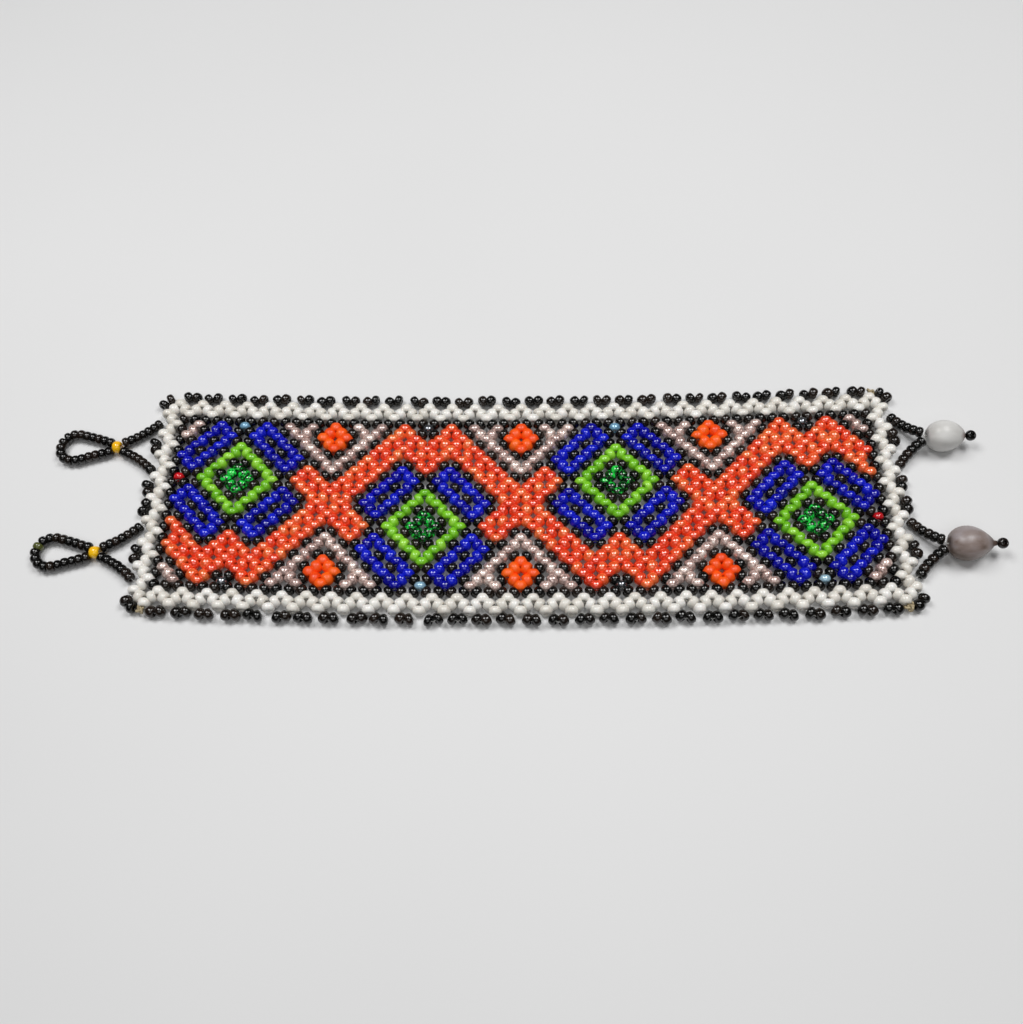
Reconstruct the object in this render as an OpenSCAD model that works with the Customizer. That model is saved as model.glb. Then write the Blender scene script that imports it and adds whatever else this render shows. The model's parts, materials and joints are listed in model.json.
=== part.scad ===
// Netted glass-bead bracelet with two bead loops at one end and two seed toggles at the other.
// The band lies flat in XY, long along X, and rests on z = 0. The origin is under its middle.
// Places in the net are counted in net units: pitch_x along the band and pitch_y across it.
// Knot beads sit on whole units and side beads on half units.

/* [Net] */
// One net unit along the band
pitch_x = 2.45; // [2.45:0.01:2.6]
// One net unit across the band
pitch_y = 2.55; // [2.55:0.01:2.7]
// Thickness of the nylon thread
thread_d = 0.16; // [0.12:0.01:0.16]

/* [Beads] */
// Outer diameter of the white, coral, green, orange and pale beads
bead_d = 2.18; // [2.1:0.01:2.18]
// Length of those beads along their holes
bead_len = 1.34; // [1.28:0.01:1.34]
// Outer diameter of the black and blue beads
small_d = 2; // [1.9:0.01:2]
// Length of the black and blue beads along their holes
small_len = 1.26; // [1.2:0.01:1.26]

/* [Closure] */
// Distance of each loop and toggle from the band's long middle line
closure_y = 12.2; // [12:0.1:12.4]
// Beads in each of the two strands that hold a loop
loop_strand_beads = 7; // [5:1:7]
// Beads in each of the two strands that hold a toggle
toggle_strand_beads = 6; // [4:1:6]
// Beads round each loop
ring_beads = 19; // [15:1:20]
// Radius of a loop's round end, measured to its thread
ring_r = 3.2; // [3:0.1:3.4]
// Diameter of the yellow bead that gathers each loop
gate_d = 2.4; // [2.2:0.1:2.4]
// Length of the yellow bead
gate_len = 1.7; // [1.4:0.1:1.7]
// Diameter of the round seed
round_seed_d = 6.6; // [6:0.1:6.8]
// Length of the round seed
round_seed_len = 7.9; // [7:0.1:8]
// Diameter of the drop-shaped seed
drop_seed_d = 6.9; // [6.2:0.1:7]
// Length of the drop-shaped seed
drop_seed_len = 9.2; // [8.6:0.1:9.4]

/* [Hidden] */
$fn = 48;
half_cols = 31;
half_rows = 9;
last_col = half_cols - 0.5;
last_row = half_rows - 0.5;
mid_z = bead_d / 2;

// The band bends on six knot columns, which part it into seven pieces, 0 to 6 from the loop end.
bends = [-19, -13, -3, 3, 13, 19];
PIECES = ["rosette_1", "flower_1", "rosette_2", "flower_2", "rosette_3", "flower_3", "rosette_4"];
FLOWER_TONES = ["white", "black", "coral", "pink", "orange"];
INNER_TONES = ["white", "black", "coral", "blue", "lime", "emerald"];
END_TONES = ["white", "black", "coral", "pink", "blue", "lime", "emerald"];
CLOSURE_NODES = [
    "upper_loop_beads", "upper_loop_gate", "upper_loop_thread",
    "lower_loop_beads", "lower_loop_gate", "lower_loop_thread",
    "upper_toggle_beads", "upper_toggle_thread", "upper_seed",
    "lower_toggle_beads", "lower_toggle_thread", "lower_seed"
];
function tones_of(p) = p % 2 == 1 ? FLOWER_TONES : p == 0 || p == 6 ? END_TONES : INNER_TONES;

// A thread runs out of a knot bead's hole at hole_run, then slants to the next knot bead.
hole_run = 0.5;
slant = atan(pitch_x / (pitch_y - 2 * hole_run));
thread_half = 0.13;
thread_lift = 0.15;

// Black two-bead tips stand outside the outermost knot beads.
tip_out = 1.72;
tip_half_gap = 0.87;
tip_tilt = 35;
corner_r = 2.6;
corner_turn = 20;

// Strands start beside the outermost column and come together at the gate or the seed.
edge_x = half_cols * pitch_x;
strand_start = [edge_x + 1.5, 5.5, mid_z];
strand_end_y = 1.2;
gate_x = edge_x + 9.5;
loop_strand_end = [gate_x - 1.65, strand_end_y, mid_z];
ring_start = [gate_x + 1.6, 1.15];
ring_x = gate_x + 8.9;
seed_start_x = edge_x + 6.9;
toggle_strand_end = [seed_start_x - 0.9, strand_end_y, 2.9];
seed_hole_d = 1;
stopper_gap = 0.25;

// ---- colour of each bead in the net ----

function rosette_of(x) = x < -16 ? 0 : x < 0 ? 1 : x < 16 ? 2 : 3;
function rosette_x(n) = 16 * n - 24;
function rosette_y(n) = n % 2 == 0 ? 2 : -2;
function to_flower(x) = min([for (c = [-32 : 16 : 32]) abs(x - c)]);

// along and across count from the rosette's middle
function rosette_tone(along, across) =
    let (ring = along + across, off_diagonal = abs(along - across))
    ring <= 1 ? "emerald" :
    ring == 2 || ring == 4 || ring == 8 && off_diagonal < 5 ? "black" :
    ring == 3 ? "lime" :
    off_diagonal >= 5 || ring > 8 ? "coral" :
    off_diagonal >= 4 || ring == 6 && off_diagonal <= 1 ? "black" :
    "blue";

// along counts from the flower's middle, inward from its row towards the band's middle line
function flower_tone(along, inward) =
    along + abs(inward) <= 1 ? "orange" :
    along + abs(inward) == 2 || along + inward == 4 ? "black" :
    "pink";

// single accent beads in black cups, in the notches of the rosettes at both long edges
function accent_tone(along, across) = along == 0 && across == 5 ? "blue" : "black";

function net_tone(x, y) =
    let (
        n = rosette_of(x),
        along = abs(x - rosette_x(n)),
        across = abs(y - rosette_y(n)),
        inward = 6 - abs(y)
    )
    abs(y) >= half_rows - 1 || abs(x) >= half_cols - 1 ? "white" :
    abs(y) == half_rows - 1.5 || abs(x) == half_cols - 1.5 ? "black" :
    to_flower(x) + inward <= 4 ? flower_tone(to_flower(x), inward) :
    along <= 0.5 && abs(y) >= 6.5 ? accent_tone(along, across) :
    rosette_tone(along, across);

// ---- which beads belong together ----

function is_even(n) = abs(n) % 2 == 0;
// beads on a bending column go with the flower when pink, else with the rosette
function is_past(b, x, tone) = x > bends[b] || x == bends[b] && is_even(b) == (tone == "pink");
function piece_of(x, tone) = len([for (b = [0 : 5]) if (is_past(b, x, tone)) b]);
// the few pale corner beads of the inner rosettes are strung with the white ones
function node_tone(p, tone) = tone == "pink" && (p == 2 || p == 4) ? "white" : tone;

// ---- beads ----

// a ring of half-round section with its hole along Y
module bead(d, len) {
    rotate([90, 0, 0])
        rotate_extrude()
            translate([(d - len) / 2, 0])
                intersection() {
                    circle(d = len);
                    translate([0, -len])
                        square([len, 2 * len]);
                }
}

module bead_of(tone) {
    if (tone == "black" || tone == "blue")
        bead(small_d, small_len);
    else
        bead(bead_d, bead_len);
}

module net_bead(x, y, turn, p, tone) {
    own = net_tone(x, y);
    if (piece_of(x, own) == p && node_tone(p, own) == tone)
        translate([x * pitch_x, y * pitch_y, mid_z])
            rotate([0, 0, turn])
                bead_of(own);
}

module net_beads(p, tone) {
    for (x = [-half_cols : half_cols], y = [-half_rows : half_rows])
        if (!is_even(x + y))
            net_bead(x, y, 0, p, tone);
    for (x = [-last_col : last_col], y = [-last_row : last_row])
        net_bead(x, y, is_even(x + y) ? -slant : slant, p, tone);
}

// ---- black two-bead tips round the edge ----

// two beads side by side outside the edge, which runs along X here
module tip_pair() {
    for (side = [-1, 1])
        translate([side * tip_half_gap, tip_out, 0])
            rotate([0, 0, 90 - side * tip_tilt])
                bead(small_d, small_len);
}

module corner_pair(side, end) {
    translate([side * last_col * pitch_x, end * last_row * pitch_y, mid_z])
        for (turn = [-corner_turn, corner_turn])
            rotate([0, 0, side * end * turn + (side > 0 ? end * 45 : 180 - end * 45)])
                translate([corner_r, 0, 0])
                    bead(small_d, small_len);
}

module edge_tips(p) {
    for (x = [2 - half_cols : 2 : half_cols - 2], end = [-1, 1])
        if (piece_of(x, "black") == p)
            translate([x * pitch_x, end * half_rows * pitch_y, mid_z])
                rotate([0, 0, end > 0 ? 0 : 180])
                    tip_pair();
    if (p == 0 || p == 6)
        end_tips(p == 0 ? -1 : 1);
}

// the gaps at 3 and 7 units hold the strands instead
module end_tips(side) {
    for (y = [-5, -1, 1, 5])
        translate([side * edge_x, y * pitch_y, mid_z])
            rotate([0, 0, -side * 90])
                tip_pair();
    for (end = [-1, 1])
        corner_pair(side, end);
}

// ---- thread ----

// places where the thread of the row at x leaves the knot beads, from one long edge to the other
function row_path(x) = [
    for (y = [-half_rows : half_rows])
        let (knot = is_even(x - 0.5 + y) ? x + 0.5 : x - 0.5)
        for (run = [-hole_run, hole_run])
            if (abs(y * pitch_y + run) <= half_rows * pitch_y)
                [knot * pitch_x, y * pitch_y + run]
];

module row_thread(x) {
    path = row_path(x);
    lift = is_even(x - 0.5) ? thread_lift : -thread_lift;
    translate([0, 0, mid_z + lift - thread_d / 2])
        linear_extrude(thread_d)
            polygon([
                for (point = path) point - [thread_half, 0],
                for (k = [len(path) - 1 : -1 : 0]) path[k] + [thread_half, 0]
            ]);
}

module piece_thread(p) {
    color("gainsboro")
        for (x = [-last_col : last_col])
            if (piece_of(x, "white") == p)
                row_thread(x);
}

module piece_beads(p, tone) {
    net_beads(p, tone);
    if (tone == "black")
        edge_tips(p);
}

module white_beads(p) { color("whitesmoke") piece_beads(p, "white"); }
module black_beads(p) { color([0.08, 0.06, 0.06]) piece_beads(p, "black"); }
module coral_beads(p) { color([0.95, 0.25, 0.15]) piece_beads(p, "coral"); }
module pink_beads(p) { color([0.85, 0.72, 0.7]) piece_beads(p, "pink"); }
module orange_beads(p) { color([1, 0.32, 0]) piece_beads(p, "orange"); }
module blue_beads(p) { color([0.05, 0.08, 0.75]) piece_beads(p, "blue"); }
module lime_beads(p) { color([0.4, 0.8, 0.1]) piece_beads(p, "lime"); }
module emerald_beads(p) { color([0, 0.5, 0.15]) piece_beads(p, "emerald"); }

// ---- strands, two for each loop or toggle, running out along X and drawing together ----

// puts its children, which point along Y, at each stop from 0 at the band to 1 at the strand's end
module on_strands(end, stops) {
    reach = end - strand_start;
    for (side = [-1, 1], stop = stops)
        mirror([0, side < 0 ? 1 : 0, 0])
            translate(strand_start + stop * reach)
                rotate([0, 0, atan2(reach.y, reach.x) - 90])
                    rotate([asin(reach.z / norm(reach)), 0, 0])
                        children();
}

module strand_of_beads(end, beads) {
    on_strands(end, [for (k = [0 : beads - 1]) k / (beads - 1)])
        bead(small_d, small_len);
}

module strand_threads(end) {
    on_strands(end, [0.5])
        rotate([90, 0, 0])
            cylinder(d = thread_d, h = norm(end - strand_start) + small_len, center = true);
}

// ---- loops: two straight sides that open from the gate and a round end ----

ring_reach = [ring_x, 0] - ring_start;
ring_side = sqrt(ring_reach * ring_reach - ring_r * ring_r);
ring_lean = atan2(ring_reach.y, ring_reach.x) + asin(ring_r / norm(ring_reach));
ring_arc = PI * ring_r * (180 + 2 * ring_lean) / 180;

// place and heading on the loop at a distance along its thread from the first bead
function on_ring(run) =
    run <= ring_side
        ? [ring_start + run * [cos(ring_lean), sin(ring_lean)], ring_lean] :
    run <= ring_side + ring_arc
        ? let (turn = 90 + ring_lean - (run - ring_side) / ring_r * 180 / PI)
            [[ring_x, 0] + ring_r * [cos(turn), sin(turn)], turn - 90] :
    let (back = on_ring(2 * ring_side + ring_arc - run))
        [[back[0].x, -back[0].y], 180 - back[1]];

module loop_beads(end) {
    color([0.08, 0.06, 0.06])
        translate([0, end * closure_y, 0]) {
            strand_of_beads(loop_strand_end, loop_strand_beads);
            for (k = [0 : ring_beads - 1]) {
                place = on_ring(k / (ring_beads - 1) * (2 * ring_side + ring_arc));
                translate([place[0].x, place[0].y, mid_z])
                    rotate([0, 0, place[1] - 90])
                        bead(small_d, small_len);
            }
        }
}

module loop_gate(end) {
    color("gold")
        translate([gate_x, end * closure_y, mid_z])
            rotate([0, 0, 90])
                bead(gate_d, gate_len);
}

// the thread round the loop, as a closed flat outline with the gate's beads strung at its ends
module ring_outline(grow) {
    steps = 24;
    run = 2 * ring_side + ring_arc;
    polygon([
        for (k = [0 : steps])
            let (place = on_ring(k / steps * run), out = place[1] + 90)
            place[0] + grow * [cos(out), sin(out)]
    ]);
}

module loop_thread(end) {
    color("gainsboro")
        translate([0, end * closure_y, 0]) {
            strand_threads(loop_strand_end);
            translate([0, 0, mid_z - thread_d / 2])
                linear_extrude(thread_d)
                    difference() {
                        ring_outline(thread_half);
                        ring_outline(-thread_half);
                        // the two ends stay apart at the gate
                        translate([ring_start.x - 1, thread_half * 2 - ring_start.y])
                            square([1.4, 2 * ring_start.y - 4 * thread_half]);
                    }
            translate([gate_x, 0, mid_z])
                rotate([0, 90, 0])
                    cylinder(d = thread_d, h = 2.4, center = true);
        }
}

// ---- toggles: a seed that turns freely on its thread, held by a sideways bead ----

module toggle_beads(end, seed_d, seed_len) {
    color([0.08, 0.06, 0.06])
        translate([0, end * closure_y, 0]) {
            strand_of_beads(toggle_strand_end, toggle_strand_beads);
            translate([seed_start_x + seed_len + stopper_gap + small_d / 2, 0, seed_d / 2])
                bead(small_d, small_len);
        }
}

module toggle_thread(end, seed_d, seed_len) {
    color("gainsboro")
        translate([0, end * closure_y, 0]) {
            strand_threads(toggle_strand_end);
            translate([seed_start_x - 0.3, 0, seed_d / 2])
                rotate([0, 90, 0])
                    cylinder(d = 2 * thread_d, h = seed_len + 0.3 + stopper_gap);
        }
}

// revolves an outline drawn along Y about the seed's hole
module drilled_seed(seed_d, seed_len) {
    rotate([0, 90, 0])
        rotate_extrude()
            intersection() {
                children();
                translate([seed_hole_d / 2, 0])
                    square([seed_d, seed_len]);
            }
}

module round_seed() {
    color([0.72, 0.73, 0.72])
        translate([seed_start_x, closure_y, round_seed_d / 2])
            drilled_seed(round_seed_d, round_seed_len)
                union() {
                    translate([0, round_seed_d / 2])
                        circle(d = round_seed_d);
                    translate([0, round_seed_d / 2])
                        square([round_seed_d / 2, round_seed_len - round_seed_d]);
                    translate([0, round_seed_len - round_seed_d / 2])
                        circle(d = round_seed_d);
                }
}

module drop_seed() {
    color([0.5, 0.46, 0.42])
        translate([seed_start_x, -closure_y, drop_seed_d / 2])
            drilled_seed(drop_seed_d, drop_seed_len)
                union() {
                    translate([0, drop_seed_d / 2])
                        circle(d = drop_seed_d);
                    polygon([
                        [0, drop_seed_d / 2],
                        [drop_seed_d / 2 * cos(40), drop_seed_d / 2 * (1 + sin(40))],
                        [0.8, drop_seed_len],
                        [0, drop_seed_len]
                    ]);
                }
}

module upper_loop_beads() { mirror([1, 0, 0]) loop_beads(1); }
module upper_loop_gate() { mirror([1, 0, 0]) loop_gate(1); }
module upper_loop_thread() { mirror([1, 0, 0]) loop_thread(1); }
module lower_loop_beads() { mirror([1, 0, 0]) loop_beads(-1); }
module lower_loop_gate() { mirror([1, 0, 0]) loop_gate(-1); }
module lower_loop_thread() { mirror([1, 0, 0]) loop_thread(-1); }
module upper_toggle_beads() { toggle_beads(1, round_seed_d, round_seed_len); }
module upper_toggle_thread() { toggle_thread(1, round_seed_d, round_seed_len); }
module lower_toggle_beads() { toggle_beads(-1, drop_seed_d, drop_seed_len); }
module lower_toggle_thread() { toggle_thread(-1, drop_seed_d, drop_seed_len); }

for (p = [0 : 6]) {
    white_beads(p);
    black_beads(p);
    coral_beads(p);
    pink_beads(p);
    orange_beads(p);
    blue_beads(p);
    lime_beads(p);
    emerald_beads(p);
    piece_thread(p);
}
upper_loop_beads();
upper_loop_gate();
upper_loop_thread();
lower_loop_beads();
lower_loop_gate();
lower_loop_thread();
upper_toggle_beads();
upper_toggle_thread();
round_seed();  // upper_seed
lower_toggle_beads();
lower_toggle_thread();
drop_seed();  // lower_seed
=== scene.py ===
import json
import math
import random

import bpy
import numpy as np
from mathutils import Matrix, Vector


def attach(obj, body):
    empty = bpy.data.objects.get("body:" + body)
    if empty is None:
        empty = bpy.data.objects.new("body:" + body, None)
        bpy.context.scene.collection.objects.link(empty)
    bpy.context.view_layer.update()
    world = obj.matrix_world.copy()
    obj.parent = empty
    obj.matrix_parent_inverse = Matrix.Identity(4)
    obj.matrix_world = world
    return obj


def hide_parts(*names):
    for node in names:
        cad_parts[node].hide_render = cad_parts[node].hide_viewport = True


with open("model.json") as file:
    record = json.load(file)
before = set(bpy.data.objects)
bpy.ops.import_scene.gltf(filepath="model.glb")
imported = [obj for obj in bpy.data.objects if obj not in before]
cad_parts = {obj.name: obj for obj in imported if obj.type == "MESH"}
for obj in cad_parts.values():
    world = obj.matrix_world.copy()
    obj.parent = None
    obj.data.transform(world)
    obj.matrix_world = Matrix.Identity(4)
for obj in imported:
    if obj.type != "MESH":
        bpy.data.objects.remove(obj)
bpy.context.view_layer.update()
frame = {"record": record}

MM = 0.001
NODE_SLOTS = {part["node"]: part["material_slot"] for part in frame["record"]["subparts"]}

# ---- the net, in the CAD model's own terms ----

PITCH_X = 2.45
PITCH_Y = 2.55
HALF_COLS = 31
HALF_ROWS = 9
BENDS = (-19, -13, -3, 3, 13, 19)
PIECES = ("rosette_1", "flower_1", "rosette_2", "flower_2", "rosette_3", "flower_3", "rosette_4")
MID_Z = 1.3
HOLE_RUN = 0.5
SLANT = math.degrees(math.atan(PITCH_X / (PITCH_Y - 2 * HOLE_RUN)))
EDGE_X = HALF_COLS * PITCH_X
CLOSURE_Y = 12.2

# the band lies in a slight bow: its ends are this much further across than its middle
BOW = 2.1
BOW_HALF = 0.7


def bow(x):
    reach = min(1.0, abs(x) / EDGE_X)
    return BOW * reach * reach - BOW_HALF


def rosette_tone(along, across):
    ring = along + across
    off_diagonal = abs(along - across)
    if ring <= 1:
        return "emerald"
    if ring in (2, 4) or (ring == 8 and off_diagonal < 5):
        return "black"
    if ring == 3:
        return "lime"
    if off_diagonal >= 5 or ring > 8:
        return "coral"
    if off_diagonal >= 4 or (ring == 6 and off_diagonal <= 1):
        return "black"
    return "blue"


def flower_tone(along, inward):
    if along + abs(inward) <= 1:
        return "orange"
    if along + abs(inward) == 2 or along + inward == 4:
        return "black"
    return "pink"


def net_tone(x, y):
    """The colour of the bead at a place in the net, in net units from its middle."""
    n = 0 if x < -16 else 1 if x < 0 else 2 if x < 16 else 3
    along = abs(x - (16 * n - 24))
    across = abs(y - (2 if n % 2 == 0 else -2))
    inward = 6 - abs(y)
    to_flower = min(abs(x - c) for c in range(-32, 33, 16))
    if abs(y) >= HALF_ROWS - 1 or abs(x) >= HALF_COLS - 1:
        return "white"
    if abs(y) == HALF_ROWS - 1.5 or abs(x) == HALF_COLS - 1.5:
        return "black"
    if to_flower + inward <= 4:
        return flower_tone(to_flower, inward)
    if along == 0 and abs(y) == 7:
        return "sky" if across == 5 else "hematite"
    if along <= 0.5 and abs(y) >= 6.5:
        return "black"
    if along == 5 and across == 0 and abs(x) > 28:
        return "red"
    return rosette_tone(along, across)


NODE_TONE = {"sky": "blue", "hematite": "black", "red": "coral"}


def piece_of(x, tone):
    past = 0
    for b, bend in enumerate(BENDS):
        if x > bend or (x == bend and (b % 2 == 0) == (tone == "pink")):
            past += 1
    return past


def node_of(p, tone):
    """The CAD node that a bead of this colour belongs to."""
    if tone == "pink" and p in (2, 4):
        tone = "white"
    return PIECES[p] + "_" + NODE_TONE.get(tone, tone)


# ---- beads ----

# outer diameter, length along the hole, hole diameter, squareness of the section
BEAD_FORMS = {
    "white": (2.62, 1.76, 0.86, 0.84),
    "coral": (2.72, 1.86, 0.84, 0.86),
    "pink": (2.64, 1.8, 0.84, 0.86),
    "orange": (2.76, 2.0, 0.84, 0.84),
    "lime": (2.6, 1.7, 0.84, 0.86),
    "emerald": (2.56, 1.74, 0.9, 0.84),
    "blue": (2.64, 1.8, 0.8, 0.86),
    "sky": (2.4, 1.6, 0.8, 0.86),
    "red": (2.3, 1.56, 0.8, 0.86),
    "hematite": (2.36, 1.56, 0.8, 0.7),
    "black": (2.46, 1.66, 0.78, 0.82),
    "jet": (2.2, 1.48, 0.78, 0.88),
    "olive": (2.24, 1.5, 0.8, 0.84),
    "yellow": (2.6, 1.9, 0.9, 0.86),
}
AROUND = 24
SECTION_OUT = 9
SECTION_IN = 3
RIM = 0.1


def bead_mesh(form):
    """Points and quads of one bead with its hole along Z: a rounded ring with a softened rim."""
    d, length, hole, square = form
    inner = hole / 2
    thick = d / 2 - inner
    profile = []
    for k in range(SECTION_OUT):
        t = math.pi * (k / (SECTION_OUT - 1) - 0.5) * 0.985
        r = inner + RIM + (thick - RIM) * abs(math.cos(t)) ** square
        z = length / 2 * math.copysign(abs(math.sin(t)) ** square, t)
        profile.append((r, z))
    for k in range(SECTION_IN):
        z = (length / 2 - 1.6 * RIM) * (1 - 2 * k / (SECTION_IN - 1))
        profile.append((inner, z))
    n = len(profile)
    points = []
    for a in range(AROUND):
        turn = 2 * math.pi * a / AROUND
        for r, z in profile:
            points.append((r * math.cos(turn), r * math.sin(turn), z))
    quads = []
    for a in range(AROUND):
        b = (a + 1) % AROUND
        for k in range(n):
            m = (k + 1) % n
            quads.append((a * n + k, b * n + k, b * n + m, a * n + m))
    return np.array(points), np.array(quads)


BEAD_MESHES = {tone: bead_mesh(form) for tone, form in BEAD_FORMS.items()}


class Beads:
    """Collects the beads of one object, then joins them into one mesh."""

    def __init__(self):
        self.items = []

    def add(self, tone, place, axis, loose=1.0):
        """A bead centred on place, in mm, with its hole along axis; loose scales its irregularity."""
        self.items.append((tone, Vector(place), Vector(axis).normalized(), loose))

    def build(self, name, body, node, rng):
        tones = sorted({item[0] for item in self.items})
        points, quads, slots, shades, base = [], [], [], [], 0
        for tone, place, axis, loose in self.items:
            shape, faces = BEAD_MESHES[tone]
            d_scale = 1 + loose * rng.uniform(-0.035, 0.03)
            l_scale = 1 + loose * rng.uniform(-0.09, 0.08)
            tilt = Vector([loose * rng.gauss(0, 0.06) for _ in range(3)])
            shift = Vector([loose * rng.uniform(-0.05, 0.05) for _ in range(3)])
            turn = (axis + tilt).normalized().to_track_quat("Z", "Y").to_matrix()
            spin = Matrix.Rotation(rng.uniform(0, math.tau), 3, "Z")
            scale = Matrix.Diagonal((d_scale, d_scale, l_scale))
            m = np.array(turn @ spin @ scale)
            centre = np.array(place + shift) + np.array((0, bow(place.x), 0))
            points.append(shape @ m.T + centre)
            quads.append(faces + base)
            base += len(shape)
            slots.append(np.full(len(faces), tones.index(tone)))
            shades.append(np.full(len(shape), rng.random()))
        return make_object(name, np.concatenate(points) * MM, np.concatenate(quads), body, [node],
                           [MATERIALS[t] for t in tones], np.concatenate(slots), np.concatenate(shades))


def make_object(name, points, quads, body, nodes, materials, slots=None, shades=None):
    """A smooth mesh object that rides on a body and stands for CAD nodes."""
    mesh = bpy.data.meshes.new(name)
    mesh.from_pydata(points.tolist(), [], quads.tolist())
    for material in materials:
        mesh.materials.append(material)
    if slots is not None:
        mesh.polygons.foreach_set("material_index", slots.astype(np.int32))
    mesh.polygons.foreach_set("use_smooth", np.ones(len(quads), dtype=bool))
    if shades is not None:
        layer = mesh.attributes.new("bead_shade", "FLOAT", "POINT")
        layer.data.foreach_set("value", shades.astype(np.float32))
    mesh.update()
    piece = bpy.data.objects.new(name, mesh)
    bpy.context.scene.collection.objects.link(piece)
    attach(piece, body)
    if nodes:
        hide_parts(*nodes)
    NODE_SLOTS[nodes[0]] if nodes else "clear_nylon"
    return piece


# ---- materials ----

def new_material(name):
    material = bpy.data.materials.new(name)
    material.use_nodes = True
    return material, material.node_tree.nodes, material.node_tree.links


def ramp(nodes, stops):
    node = nodes.new("ShaderNodeValToRGB")
    elements = node.color_ramp.elements
    while len(elements) < len(stops):
        elements.new(0.5)
    for element, (at, colour) in zip(elements, stops):
        element.position = at
        element.color = (*colour, 1)
    return node


def noise(nodes, links, scale, detail):
    """Noise fixed to the object's own coordinates, so its grain is the same on every piece."""
    place = nodes.new("ShaderNodeTexCoord")
    texture = nodes.new("ShaderNodeTexNoise")
    texture.inputs["Scale"].default_value = scale
    texture.inputs["Detail"].default_value = detail
    links.new(place.outputs["Object"], texture.inputs["Vector"])
    return texture


def bead_material(name, dark, main, light, roughness, coat=0.5, metallic=0.0, subsurface=0.0,
                  bump=0.04, speckle_and_glint=0.5, grain=900, spread=0.35, coat_roughness=0.06, coat_ior=1.5):
    """Glass whose colour shifts a little from bead to bead and over each bead, with a faint pitted skin."""
    material, nodes, links = new_material(name)
    shader = nodes["Principled BSDF"]
    shade = nodes.new("ShaderNodeAttribute")
    shade.attribute_name = "bead_shade"
    # on emerald and pink the bright end of this fine noise is painted glints; on the other beads it is the
    # glass's own speckle
    cloud = noise(nodes, links, grain, 2)
    mix = nodes.new("ShaderNodeMath")
    mix.operation = "MULTIPLY_ADD"
    mix.inputs[1].default_value = speckle_and_glint
    links.new(cloud.outputs["Fac"], mix.inputs[0])
    part = nodes.new("ShaderNodeMath")
    part.operation = "MULTIPLY"
    part.inputs[1].default_value = 1 - speckle_and_glint
    links.new(shade.outputs["Fac"], part.inputs[0])
    links.new(part.outputs[0], mix.inputs[2])
    colours = ramp(nodes, [(0.5 - spread, dark), (0.5, main), (0.5 + spread, light)])
    links.new(mix.outputs[0], colours.inputs[0])
    links.new(colours.outputs[0], shader.inputs["Base Color"])
    rough = nodes.new("ShaderNodeMapRange")
    rough.inputs["To Min"].default_value = roughness * 0.75
    rough.inputs["To Max"].default_value = roughness * 1.35
    links.new(cloud.outputs["Fac"], rough.inputs["Value"])
    links.new(rough.outputs[0], shader.inputs["Roughness"])
    pits = noise(nodes, links, 2600, 1)
    relief = nodes.new("ShaderNodeBump")
    relief.inputs["Strength"].default_value = bump
    relief.inputs["Distance"].default_value = 0.00008
    links.new(pits.outputs["Fac"], relief.inputs["Height"])
    links.new(relief.outputs[0], shader.inputs["Normal"])
    shader.inputs["Metallic"].default_value = metallic
    shader.inputs["Coat Weight"].default_value = coat
    shader.inputs["Coat Roughness"].default_value = coat_roughness
    shader.inputs["Coat IOR"].default_value = coat_ior
    shader.inputs["Subsurface Weight"].default_value = subsurface
    shader.inputs["Subsurface Radius"].default_value = (0.0008, 0.0006, 0.0005)
    return material


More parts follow.
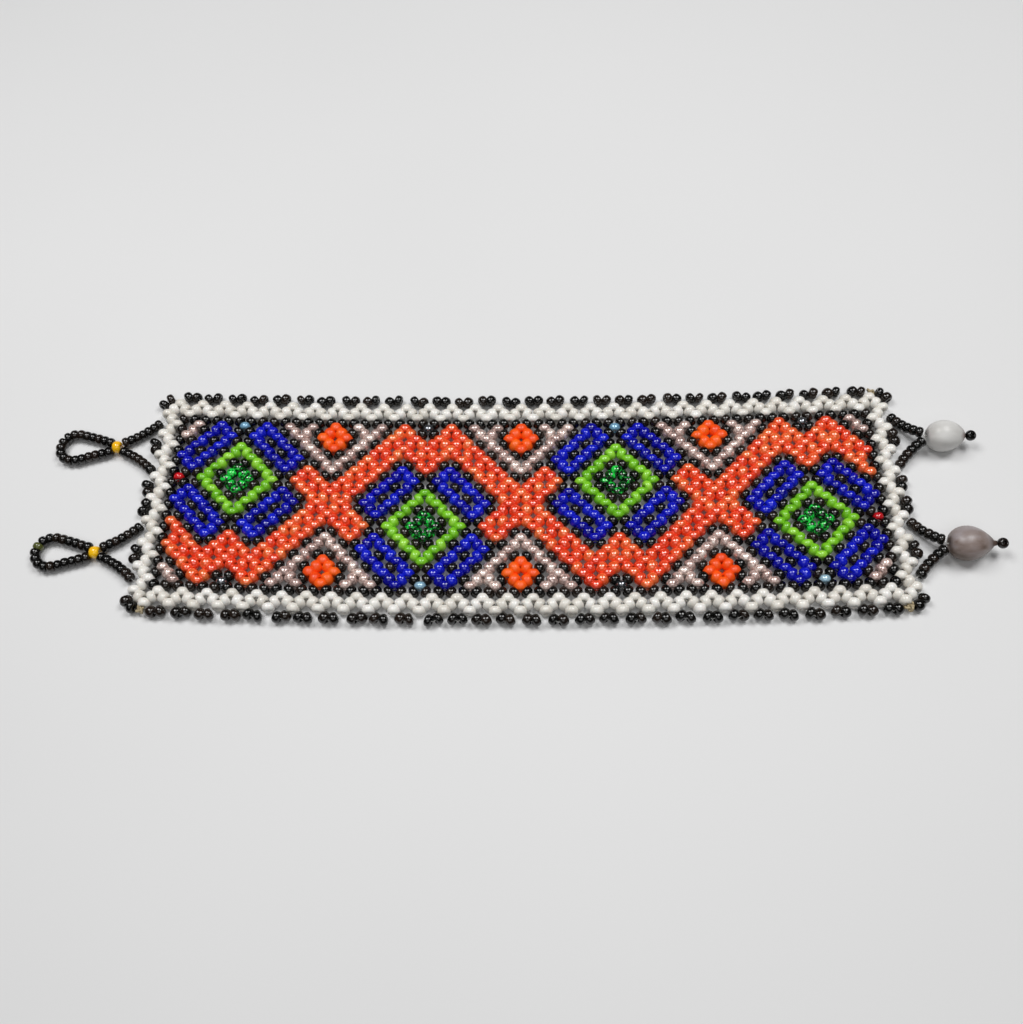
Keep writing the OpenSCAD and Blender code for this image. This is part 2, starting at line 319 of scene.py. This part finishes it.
MATERIALS = {
    "white": bead_material("white_glass", (0.7, 0.66, 0.59), (0.84, 0.81, 0.75), (0.9, 0.88, 0.85), 0.24,
                           coat=0.3, subsurface=0.1, bump=0.1),
    "black": bead_material("black_glass", (0.0005, 0.0005, 0.0005), (0.002, 0.0015, 0.001),
                           (0.02, 0.011, 0.007), 0.16, coat=0.3, spread=0.4),
    "coral": bead_material("coral_lustre_glass", (0.88, 0.04, 0.006), (1.0, 0.09, 0.014),
                           (1.0, 0.2, 0.04), 0.28, coat=1.0, metallic=0.2, coat_roughness=0.15, coat_ior=1.9,
                           spread=0.3),
    # pink: real pearl tone, with fine bright speckles that are painted sparkle
    "pink": bead_material("pale_pink_pearl_glass", (0.3, 0.19, 0.17), (0.66, 0.46, 0.41), (0.95, 0.82, 0.74),
                          0.26, coat=1.0, metallic=0.3, speckle_and_glint=0.8, grain=2200, spread=0.2, coat_roughness=0.1,
                          coat_ior=1.9),
    "orange": bead_material("orange_glass", (0.86, 0.05, 0.001), (1.0, 0.095, 0.002), (1.0, 0.14, 0.004),
                            0.4, coat=0.12, subsurface=0.1),
    "lime": bead_material("lime_green_glass", (0.13, 0.45, 0.01), (0.22, 0.62, 0.02), (0.36, 0.76, 0.06),
                          0.24, coat=0.4, subsurface=0.1),
    # emerald: dark green glass whose bright green speckles are painted glints
    "emerald": bead_material("emerald_lined_glass", (0.0, 0.004, 0.0), (0.0, 0.055, 0.006), (0.02, 0.8, 0.08),
                             0.1, coat=0.6, speckle_and_glint=0.88, grain=1500, spread=0.13),
    "blue": bead_material("cobalt_blue_glass", (0.001, 0.001, 0.2), (0.003, 0.004, 0.42), (0.008, 0.02, 0.7),
                          0.14, coat=0.5),
    "sky": bead_material("light_blue_pearl_glass", (0.12, 0.3, 0.5), (0.22, 0.45, 0.64), (0.5, 0.7, 0.8),
                         0.16, coat=1.0, metallic=0.2),
    "red": bead_material("red_glass", (0.4, 0.002, 0.006), (0.62, 0.008, 0.015), (0.8, 0.03, 0.03),
                         0.14, coat=0.6),
    "hematite": bead_material("dark_metallic_glass", (0.06, 0.06, 0.07), (0.2, 0.21, 0.23), (0.5, 0.52, 0.56),
                              0.16, coat=0.6, metallic=0.9, speckle_and_glint=0.8, grain=1500, spread=0.25),
    "olive": bead_material("olive_glass", (0.02, 0.024, 0.004), (0.06, 0.07, 0.014), (0.13, 0.14, 0.03),
                           0.2, coat=0.4),
    "yellow": bead_material("yellow_glass", (0.88, 0.33, 0.0), (1.0, 0.46, 0.002), (1.0, 0.6, 0.01),
                            0.2, coat=0.4, subsurface=0.1),
}
MATERIALS["jet"] = MATERIALS["black"]


# ---- the band's beads ----

def on_table(x, y, z=MID_Z):
    return Vector((x, y, z))


def turned(degrees):
    """The direction of +Y turned about Z."""
    angle = math.radians(degrees)
    return Vector((-math.sin(angle), math.cos(angle), 0))


band = {}


def band_bead(p, tone, place, axis, loose=1.0):
    band.setdefault((p, node_of(p, tone)), Beads()).add(tone, place, axis, loose)


def half_steps(last):
    return [k / 2 for k in range(-2 * last, 2 * last + 1)]


for x in half_steps(HALF_COLS):
    for y in half_steps(HALF_ROWS):
        knot = x == int(x) and y == int(y) and (int(x) + int(y)) % 2 == 1
        side = x != int(x) and y != int(y)
        if not (knot or side):
            continue
        tone = net_tone(x, y)
        turn = 0 if knot else (-SLANT if (x + y) % 2 == 0 else SLANT)
        band_bead(piece_of(x, tone), tone, on_table(x * PITCH_X, y * PITCH_Y), turned(turn))

TIP_OUT = 1.72
TIP_HALF_GAP = 0.87
TIP_TILT = 35
CORNER_R = 2.6
CORNER_TURN = 20
END_TIP_IN = -0.62


def edge_tips():
    """Every pair of tip beads: its piece, its place on the edge and the turn from +Y to its way out."""
    spots = [(piece_of(x, "black"), x, end * HALF_ROWS, 0 if end > 0 else 180)
             for x in range(2 - HALF_COLS, HALF_COLS - 1, 2) for end in (-1, 1)]
    spots += [(p, side * HALF_COLS, y, -side * 90) for side, p in ((-1, 0), (1, 6)) for y in (-5, -1, 1, 5)]
    askew = random.Random(3)
    for p, x, y, out_turn in spots:
        out = turned(out_turn) * (askew.uniform(-0.1, 0.22) + (END_TIP_IN if abs(x) == HALF_COLS else 0))
        place = on_table(x * PITCH_X, y * PITCH_Y) + out
        yield p, place, out_turn + askew.uniform(-13, 13), askew.uniform(-0.12, 0.25)


def tip_places(middle, out_turn, rise):
    """The two beads of a pair, with the direction of each hole."""
    out = turned(out_turn)
    along = turned(out_turn - 90)
    for side in (-1, 1):
        place = middle + along * side * TIP_HALF_GAP + out * TIP_OUT + Vector((0, 0, max(0, side * rise)))
        yield place, turned(out_turn + 90 - side * TIP_TILT)


def corner_place(side, end, turn):
    """A place outside a corner and the turn of its way out; turn swings it along the edge."""
    middle = on_table(side * (HALF_COLS - 0.5) * PITCH_X, end * (HALF_ROWS - 0.5) * PITCH_Y)
    angle = side * end * turn + (end * 45 if side > 0 else 180 - end * 45)
    return middle + turned(angle - 90) * CORNER_R, angle


TIPS = list(edge_tips())
for p, middle, out_turn, rise in TIPS:
    for place, axis in tip_places(middle, out_turn, rise):
        band_bead(p, "black", place, axis, 1.6)
for side, p in ((-1, 0), (1, 6)):
    for end in (-1, 1):
        for turn in (-CORNER_TURN, CORNER_TURN):
            place, angle = corner_place(side, end, turn)
            band_bead(p, "black", place, turned(angle), 1.6)

rng = random.Random(11)
for (p, node), beads in sorted(band.items()):
    beads.build(node + "_beads", PIECES[p], node, rng)


# ---- strands, loops and toggles ----

STRAND_START = Vector((EDGE_X + 1.5, 5.5, MID_Z))
STRAND_END_Y = 1.2
GATE_X = EDGE_X + 9.5
LOOP_STRAND_END = Vector((GATE_X - 1.65, STRAND_END_Y, MID_Z))
LOOP_STRAND_BEADS = 7
RING_START = Vector((GATE_X + 1.6, 1.15))
RING_X = GATE_X + 8.9
RING_R = 3.2
RING_BEADS = 19
SEED_START_X = EDGE_X + 6.9
TOGGLE_STRAND_END = Vector((SEED_START_X - 0.9, STRAND_END_Y, 2.9))
TOGGLE_STRAND_BEADS = 6
STOPPER_GAP = 0.25
SMALL_D = 2.0

ring_reach = Vector((RING_X, 0)) - RING_START
RING_SIDE = math.sqrt(ring_reach.length_squared - RING_R ** 2)
RING_LEAN = math.atan2(ring_reach.y, ring_reach.x) + math.asin(RING_R / ring_reach.length)
RING_ARC = RING_R * (math.pi + 2 * RING_LEAN)
RING_RUN = 2 * RING_SIDE + RING_ARC


def on_ring(run):
    """Place and heading in radians at a distance along a loop's thread."""
    if run <= RING_SIDE:
        return RING_START + run * Vector((math.cos(RING_LEAN), math.sin(RING_LEAN))), RING_LEAN
    if run <= RING_SIDE + RING_ARC:
        turn = math.pi / 2 + RING_LEAN - (run - RING_SIDE) / RING_R
        return Vector((RING_X, 0)) + RING_R * Vector((math.cos(turn), math.sin(turn))), turn - math.pi / 2
    place, heading = on_ring(RING_RUN - run)
    return Vector((place.x, -place.y)), math.pi - heading


def even_steps(path, count):
    """Places and headings at equal distances along a fine path."""
    runs = [0.0]
    for a, b in zip(path, path[1:]):
        runs.append(runs[-1] + (b - a).length)
    k = 0
    for step in range(count):
        run = runs[-1] * step / (count - 1)
        while k < len(path) - 2 and runs[k + 1] < run:
            k += 1
        way = path[k + 1] - path[k]
        yield path[k] + way * ((run - runs[k]) / way.length), way


STRAND_STEPS = 30
STRAND_SHOULDER = Vector((0.36, 0.58, 0.3))
STRAND_LOOSE = 0.9


def strand_path(side, end):
    """A strand leaves the band steeply, then flattens out towards its partner."""
    start = Vector((STRAND_START.x, side * STRAND_START.y, STRAND_START.z))
    stop = Vector((end.x, side * end.y, end.z))
    way = stop - start
    shoulder = start + Vector((a * b for a, b in zip(way, STRAND_SHOULDER)))
    steps = [k / STRAND_STEPS for k in range(STRAND_STEPS + 1)]
    return [(1 - t) ** 2 * start + 2 * t * (1 - t) * shoulder + t * t * stop for t in steps]


def strand(beads, flip, middle_y, end, count):
    """Two rows of black beads that draw together; flip is -1 at the loop end of the band."""
    for side in (-1, 1):
        for place, way in even_steps(strand_path(side, end), count):
            beads.add("jet", (flip * place.x, place.y + middle_y, place.z), (flip * way.x, way.y, way.z),
                      STRAND_LOOSE)


def tube(path, radius, sides=6):
    """Points and quads of a thin open tube along a path of points in mm."""
    path = [Vector(point) for point in path]
    points, quads = [], []
    for k, point in enumerate(path):
        ahead = path[min(k + 1, len(path) - 1)] - path[max(k - 1, 0)]
        ahead.normalize()
        across = ahead.cross(Vector((0, 0, 1)))
        across = across.normalized() if across.length > 1e-6 else Vector((1, 0, 0))
        up = across.cross(ahead)
        for s in range(sides):
            turn = math.tau * s / sides
            points.append(point + radius * (math.cos(turn) * across + math.sin(turn) * up))
    for k in range(len(path) - 1):
        for s in range(sides):
            n = (s + 1) % sides
            quads.append((k * sides + s, k * sides + n, (k + 1) * sides + n, (k + 1) * sides + s))
    return [(p.x, p.y + bow(p.x), p.z) for p in points], quads


class Tubes:
    """Collects the tubes of one thread object."""

    def __init__(self):
        self.points, self.quads = [], []

    def add(self, path, radius):
        points, quads = tube(path, radius)
        base = len(self.points)
        self.points += points
        self.quads += [tuple(base + i for i in quad) for quad in quads]

    def build(self, name, body, node, material):
        nodes = [node] if node else []
        return make_object(name, np.array(self.points) * MM, np.array(self.quads), body, nodes, [material])


def nylon_material():
    """Clear monofilament: pale, glossy and a little milky, with faint drawn lines."""
    material, nodes, links = new_material("clear_nylon")
    shader = nodes["Principled BSDF"]
    lines = noise(nodes, links, 1500, 2)
    tint = ramp(nodes, [(0.3, (0.55, 0.54, 0.5)), (0.7, (0.8, 0.8, 0.78))])
    links.new(lines.outputs["Fac"], tint.inputs[0])
    links.new(tint.outputs[0], shader.inputs["Base Color"])
    shader.inputs["Roughness"].default_value = 0.2
    shader.inputs["Transmission Weight"].default_value = 0.35
    return material


NYLON = nylon_material()
THREAD_R = 0.085
THREAD_LIFT = 0.15

threads = {p: Tubes() for p in range(len(PIECES))}
for row in range(-HALF_COLS, HALF_COLS):
    lift = THREAD_LIFT if row % 2 == 0 else -THREAD_LIFT
    path = []
    for y in range(-HALF_ROWS, HALF_ROWS + 1):
        knot = row + 1 if (row + y) % 2 == 0 else row
        for run in (-HOLE_RUN, HOLE_RUN):
            if abs(y * PITCH_Y + run) <= HALF_ROWS * PITCH_Y:
                path.append((knot * PITCH_X, y * PITCH_Y + run, MID_Z + lift))
    threads[piece_of(row + 0.5, "white")].add(path, THREAD_R)


TIP_THREAD_REACH = 0.75
TIP_THREAD_PEAK = 0.45


def tip_thread(tubes, middle, out_turn, rise):
    """The thread that comes out of the edge, runs through a pair of tip beads and goes back in."""
    (place_a, axis_a), (place_b, axis_b) = tip_places(middle, out_turn, rise)
    peak = middle + turned(out_turn) * (TIP_OUT + TIP_THREAD_PEAK)
    first = place_a + axis_a * TIP_THREAD_REACH
    last = place_b - axis_b * TIP_THREAD_REACH
    tubes.add([first, place_a, peak, place_b, last], THREAD_R)


for p, middle, out_turn, rise in TIPS:
    tip_thread(threads[p], middle, out_turn, rise)
for p, tubes in threads.items():
    tubes.build(PIECES[p] + "_net_thread", PIECES[p], PIECES[p] + "_thread", NYLON)


def fibre_material():
    """Beige knotted thread: fine fibres across it, darker in the hollows of its relief, which is painted
    shade.
    """
    material, nodes, links = new_material("beige_thread")
    shader = nodes["Principled BSDF"]
    fibres = noise(nodes, links, 5000, 4)
    # the same noise raises the relief, so the dark end of this ramp is painted shade in the hollows
    tint = ramp(nodes, [(0.3, (0.2, 0.14, 0.07)), (0.5, (0.42, 0.34, 0.2)), (0.75, (0.62, 0.55, 0.4))])
    links.new(fibres.outputs["Fac"], tint.inputs[0])
    links.new(tint.outputs[0], shader.inputs["Base Color"])
    relief = nodes.new("ShaderNodeBump")
    relief.inputs["Strength"].default_value = 0.5
    relief.inputs["Distance"].default_value = 0.00005
    links.new(fibres.outputs["Fac"], relief.inputs["Height"])
    links.new(relief.outputs[0], shader.inputs["Normal"])
    shader.inputs["Roughness"].default_value = 0.6
    return material


BEIGE_THREAD = fibre_material()
KNOT_SIZE = 0.3
KNOT_THREAD_R = 0.27
KNOT_STEPS = 72
KNOT_OUT = 0.1
KNOT_TURN = 58
KNOT_LEAN = 0.5
KNOT_TAIL = 1.3
KNOT_TAIL_TURN = 60


def corner_knot(name, side, end, body):
    """A small overhand knot that ties the thread off beside a corner bead, with a short tail."""
    middle, angle = corner_place(side, end, KNOT_TURN)
    middle += turned(angle - 90) * KNOT_OUT
    tilt = Matrix.Rotation(math.radians(angle), 3, "Z") @ Matrix.Rotation(KNOT_LEAN, 3, "X")
    path = []
    for k in range(KNOT_STEPS + 1):
        t = math.tau * k / KNOT_STEPS
        knot = Vector((math.sin(t) + 2 * math.sin(2 * t),
                       math.cos(t) - 2 * math.cos(2 * t),
                       -math.sin(3 * t)))
        path.append(middle + tilt @ knot * KNOT_SIZE)
    tail_way = turned(angle + KNOT_TAIL_TURN) * KNOT_TAIL + Vector((0, 0, -0.5))
    tail_rise = path[0] + 0.5 * tail_way + Vector((0, 0, 0.15))
    tubes = Tubes()
    tubes.add(path, KNOT_THREAD_R)
    tubes.add([path[0], tail_rise, path[0] + tail_way], KNOT_THREAD_R * 0.6)
    tubes.build(name, body, None, BEIGE_THREAD)


corner_knot("loop_end_corner_knot", -1, -1, "rosette_1")
corner_knot("seed_end_lower_corner_knot", 1, -1, "rosette_4")
corner_knot("seed_end_upper_corner_knot", 1, 1, "rosette_4")


def strand_threads(tubes, flip, middle_y, end):
    for side in (-1, 1):
        path = strand_path(side, end)
        path = [Vector((EDGE_X + 0.2, side * (STRAND_START.y + 0.9), MID_Z))] + path
        path.append(Vector((end.x + 1.0, 0.15 * side, end.z)))
        tubes.add([(flip * point.x, point.y + middle_y, point.z) for point in path], THREAD_R)


OLIVE_BEAD = ("lower", 8)
GATE_THREAD_HALF = 1.3
RING_THREAD_STEPS = 40

for name, middle_y in (("upper", CLOSURE_Y), ("lower", -CLOSURE_Y)):
    body = name + "_loop"
    beads = Beads()
    strand(beads, -1, middle_y, LOOP_STRAND_END, LOOP_STRAND_BEADS)
    for k in range(RING_BEADS):
        place, heading = on_ring(k / (RING_BEADS - 1) * RING_RUN)
        tone = "olive" if (name, k) == OLIVE_BEAD else "jet"
        way = (-math.cos(heading), math.sin(heading), 0)
        beads.add(tone, (-place.x, place.y + middle_y, MID_Z), way, STRAND_LOOSE)
    beads.build(name + "_loop_black_beads", body, body + "_beads", rng)
    gate = Beads()
    gate.add("yellow", (-GATE_X, middle_y, MID_Z + 0.1), (1, 0, 0))
    gate.build(name + "_loop_yellow_bead", body, body + "_gate", rng)
    tubes = Tubes()
    strand_threads(tubes, -1, middle_y, LOOP_STRAND_END)
    ring = [on_ring(k / RING_THREAD_STEPS * RING_RUN)[0] for k in range(RING_THREAD_STEPS + 1)]
    tubes.add([(-point.x, point.y + middle_y, MID_Z) for point in ring], THREAD_R)
    tubes.add([(-GATE_X + end * GATE_THREAD_HALF, middle_y, MID_Z) for end in (-1, 1)], THREAD_R)
    tubes.build(name + "_loop_thread", body, body + "_thread", NYLON)


# ---- seeds ----

def seed_material(name, dark, main, light, tip, streak, across):
    """A hard polished seed: a pale shell with soft bands along it, browner towards its far tip.

    On a seed the bead_shade attribute holds the place along it, from 0 to 1 at the far tip.
    """
    material, nodes, links = new_material(name)
    shader = nodes["Principled BSDF"]
    place = nodes.new("ShaderNodeTexCoord")
    stretch = nodes.new("ShaderNodeMapping")
    stretch.inputs["Scale"].default_value = (90, across, across)
    links.new(place.outputs["Object"], stretch.inputs["Vector"])
    grain = nodes.new("ShaderNodeTexNoise")
    grain.inputs["Scale"].default_value = 1
    grain.inputs["Detail"].default_value = 6
    links.new(stretch.outputs[0], grain.inputs["Vector"])
    colours = ramp(nodes, [(0.5 - streak, dark), (0.5, main), (0.5 + streak, light)])
    links.new(grain.outputs["Fac"], colours.inputs[0])
    along = nodes.new("ShaderNodeAttribute")
    along.attribute_name = "bead_shade"
    edge = nodes.new("ShaderNodeMath")
    edge.operation = "MULTIPLY_ADD"
    edge.inputs[1].default_value = 0.5
    links.new(grain.outputs["Fac"], edge.inputs[0])
    links.new(along.outputs["Fac"], edge.inputs[2])
    reach = nodes.new("ShaderNodeMapRange")
    reach.inputs["From Min"].default_value = 1.0
    reach.inputs["From Max"].default_value = 1.2
    reach.inputs["To Max"].default_value = 0.9
    links.new(edge.outputs[0], reach.inputs["Value"])
    blend = nodes.new("ShaderNodeMix")
    blend.data_type = "RGBA"
    # this node names its sockets alike for numbers and colours: 6 and 7 are its two colours, 2 the result
    blend.inputs[7].default_value = (*tip, 1)
    links.new(reach.outputs[0], blend.inputs[0])
    links.new(colours.outputs[0], blend.inputs[6])
    links.new(blend.outputs[2], shader.inputs["Base Color"])
    relief = nodes.new("ShaderNodeBump")
    relief.inputs["Strength"].default_value = 0.1
    relief.inputs["Distance"].default_value = 0.0001
    links.new(grain.outputs["Fac"], relief.inputs["Height"])
    links.new(relief.outputs[0], shader.inputs["Normal"])
    shader.inputs["Roughness"].default_value = 0.42
    shader.inputs["Coat Weight"].default_value = 0.25
    shader.inputs["Coat Roughness"].default_value = 0.3
    return material


SEED_AROUND = 40
SEED_ALONG = 22
SEED_HOLE = 0.5


def seed(name, body, start, middle_y, d, length, fullness, point, material, seed_rng):
    """A drilled seed along X: fullness moves its widest place, point draws out its far end."""
    profile = []
    for k in range(SEED_ALONG + 1):
        t = k / SEED_ALONG
        shape = math.sin(math.pi * t ** fullness) ** (0.5 + point * t)
        profile.append((length * t, max(SEED_HOLE, d / 2 * shape)))
    lumps = [(seed_rng.uniform(0, math.tau), seed_rng.randint(2, 4), seed_rng.uniform(0.006, 0.016))
             for _ in range(3)]
    points, quads, along = [], [], []
    bore = SEED_HOLE * 0.86
    rings = profile + [(length * 0.97, bore), (length * 0.03, bore)]
    n = len(rings)
    for a in range(SEED_AROUND):
        turn = math.tau * a / SEED_AROUND
        lump = 1 + sum(size * math.sin(count * turn + phase) for phase, count, size in lumps) - 0.02
        for x, r in rings:
            grow = lump if r > SEED_HOLE else 1
            points.append((start + x,
                           middle_y + bow(start) + r * grow * math.cos(turn),
                           d / 2 + r * grow * math.sin(turn)))
            along.append(x / length)
    for a in range(SEED_AROUND):
        b = (a + 1) % SEED_AROUND
        for k in range(n):
            m = (k + 1) % n
            quads.append((a * n + k, a * n + m, b * n + m, b * n + k))
    return make_object(name, np.array(points) * MM, np.array(quads), body, [body], [material],
                       shades=np.array(along))


# the side of the band, and the seed's diameter and length
TOGGLES = {
    "upper": (1, 6.6, 7.9),
    "lower": (-1, 6.9, 9.2),
}
STOPPER_AXIS = (0.35, -0.3, 0.9)
SEED_THREAD_REACH = 0.4
for name, (end, seed_d, seed_len) in TOGGLES.items():
    body = name + "_toggle"
    middle_y = end * CLOSURE_Y
    beads = Beads()
    strand(beads, 1, middle_y, TOGGLE_STRAND_END, TOGGLE_STRAND_BEADS)
    stopper_x = SEED_START_X + seed_len + STOPPER_GAP + SMALL_D / 2
    beads.add("jet", (stopper_x, middle_y, seed_d / 2), STOPPER_AXIS, 0.5)
    beads.build(name + "_toggle_black_beads", body, body + "_beads", rng)
    tubes = Tubes()
    strand_threads(tubes, 1, middle_y, TOGGLE_STRAND_END)
    run = [SEED_START_X - SEED_THREAD_REACH, SEED_START_X + seed_len + STOPPER_GAP + SEED_THREAD_REACH]
    tubes.add([(x, middle_y, seed_d / 2) for x in run], THREAD_R * 1.6)
    tubes.build(name + "_toggle_thread", body, body + "_thread", NYLON)

GREY_SEED = seed_material("grey_seed", (0.5, 0.49, 0.46), (0.64, 0.63, 0.61), (0.74, 0.73, 0.71),
                          (0.16, 0.1, 0.085), 0.3, 500)
BROWN_SEED = seed_material("brown_seed", (0.1, 0.06, 0.038), (0.24, 0.185, 0.165), (0.33, 0.285, 0.285),
                           (0.08, 0.045, 0.03), 0.14, 300)
seed_rng = random.Random(5)
seed("upper_round_seed", "upper_seed", SEED_START_X, CLOSURE_Y, *TOGGLES["upper"][1:], 0.84, 0.0,
     GREY_SEED, seed_rng)
seed("lower_drop_seed", "lower_seed", SEED_START_X, -CLOSURE_Y, *TOGGLES["lower"][1:], 0.74, 0.32,
     BROWN_SEED, seed_rng)


# ---- floor, light and camera ----

def floor_material():
    material, nodes, links = new_material("pale_floor")
    shader = nodes["Principled BSDF"]
    cloud = noise(nodes, links, 6, 2)
    tint = ramp(nodes, [(0.3, (0.735, 0.735, 0.735)), (0.7, (0.765, 0.765, 0.765))])
    links.new(cloud.outputs["Fac"], tint.inputs[0])
    links.new(tint.outputs[0], shader.inputs["Base Color"])
    shader.inputs["Roughness"].default_value = 0.6
    return material


FLOOR_HALF = 2.0
floor_mesh = bpy.data.meshes.new("floor")
corners = [(x * FLOOR_HALF, y * FLOOR_HALF, 0) for x, y in ((-1, -1), (1, -1), (1, 1), (-1, 1))]
floor_mesh.from_pydata(corners, [], [(0, 1, 2, 3)])
floor_mesh.materials.append(floor_material())
floor = bpy.data.objects.new("floor", floor_mesh)
bpy.context.scene.collection.objects.link(floor)


def area_light(name, place, size, power):
    """A rectangular white light that faces the middle of the band."""
    data = bpy.data.lights.new(name, "AREA")
    data.shape = "RECTANGLE"
    data.size, data.size_y = size
    data.energy = power
    light = bpy.data.objects.new(name, data)
    light.location = place
    light.rotation_euler = (-Vector(place)).to_track_quat("-Z", "Y").to_euler()
    bpy.context.scene.collection.objects.link(light)


for side in (-1, 1):
    area_light("softbox", (side * 0.21 - 0.01, 0.14, 0.5), (0.2, 0.26), 1.48)
area_light("fill", (0, -0.28, 0.5), (0.5, 0.3), 0.62)
world = bpy.data.worlds.new("studio")
world.use_nodes = True
world.node_tree.nodes["Background"].inputs["Color"].default_value = (1, 1, 1, 1)
world.node_tree.nodes["Background"].inputs["Strength"].default_value = 0.05
bpy.context.scene.world = world
bpy.context.scene.view_settings.view_transform = "Standard"

CAMERA_TARGET = Vector((-1.9, -2.3, MID_Z))
CAMERA_HEIGHT_ANGLE = math.radians(63.0)
CAMERA_TURN = math.radians(3.8)
CAMERA_ROLL = math.radians(-3.74)
CAMERA_DISTANCE = 202.2
CAMERA_LENS = 35.2

towards = Vector((math.cos(CAMERA_HEIGHT_ANGLE) * math.sin(CAMERA_TURN),
                  -math.cos(CAMERA_HEIGHT_ANGLE) * math.cos(CAMERA_TURN), math.sin(CAMERA_HEIGHT_ANGLE)))
camera_data = bpy.data.cameras.new("camera")
camera_data.lens = CAMERA_LENS
camera_data.clip_start = 0.01
camera = bpy.data.objects.new("camera", camera_data)
camera.location = (CAMERA_TARGET + CAMERA_DISTANCE * towards) * MM
look = (-towards).to_track_quat("-Z", "Y").to_matrix() @ Matrix.Rotation(CAMERA_ROLL, 3, "Z")
camera.rotation_euler = look.to_euler()
bpy.context.scene.collection.objects.link(camera)
bpy.context.scene.camera = camera
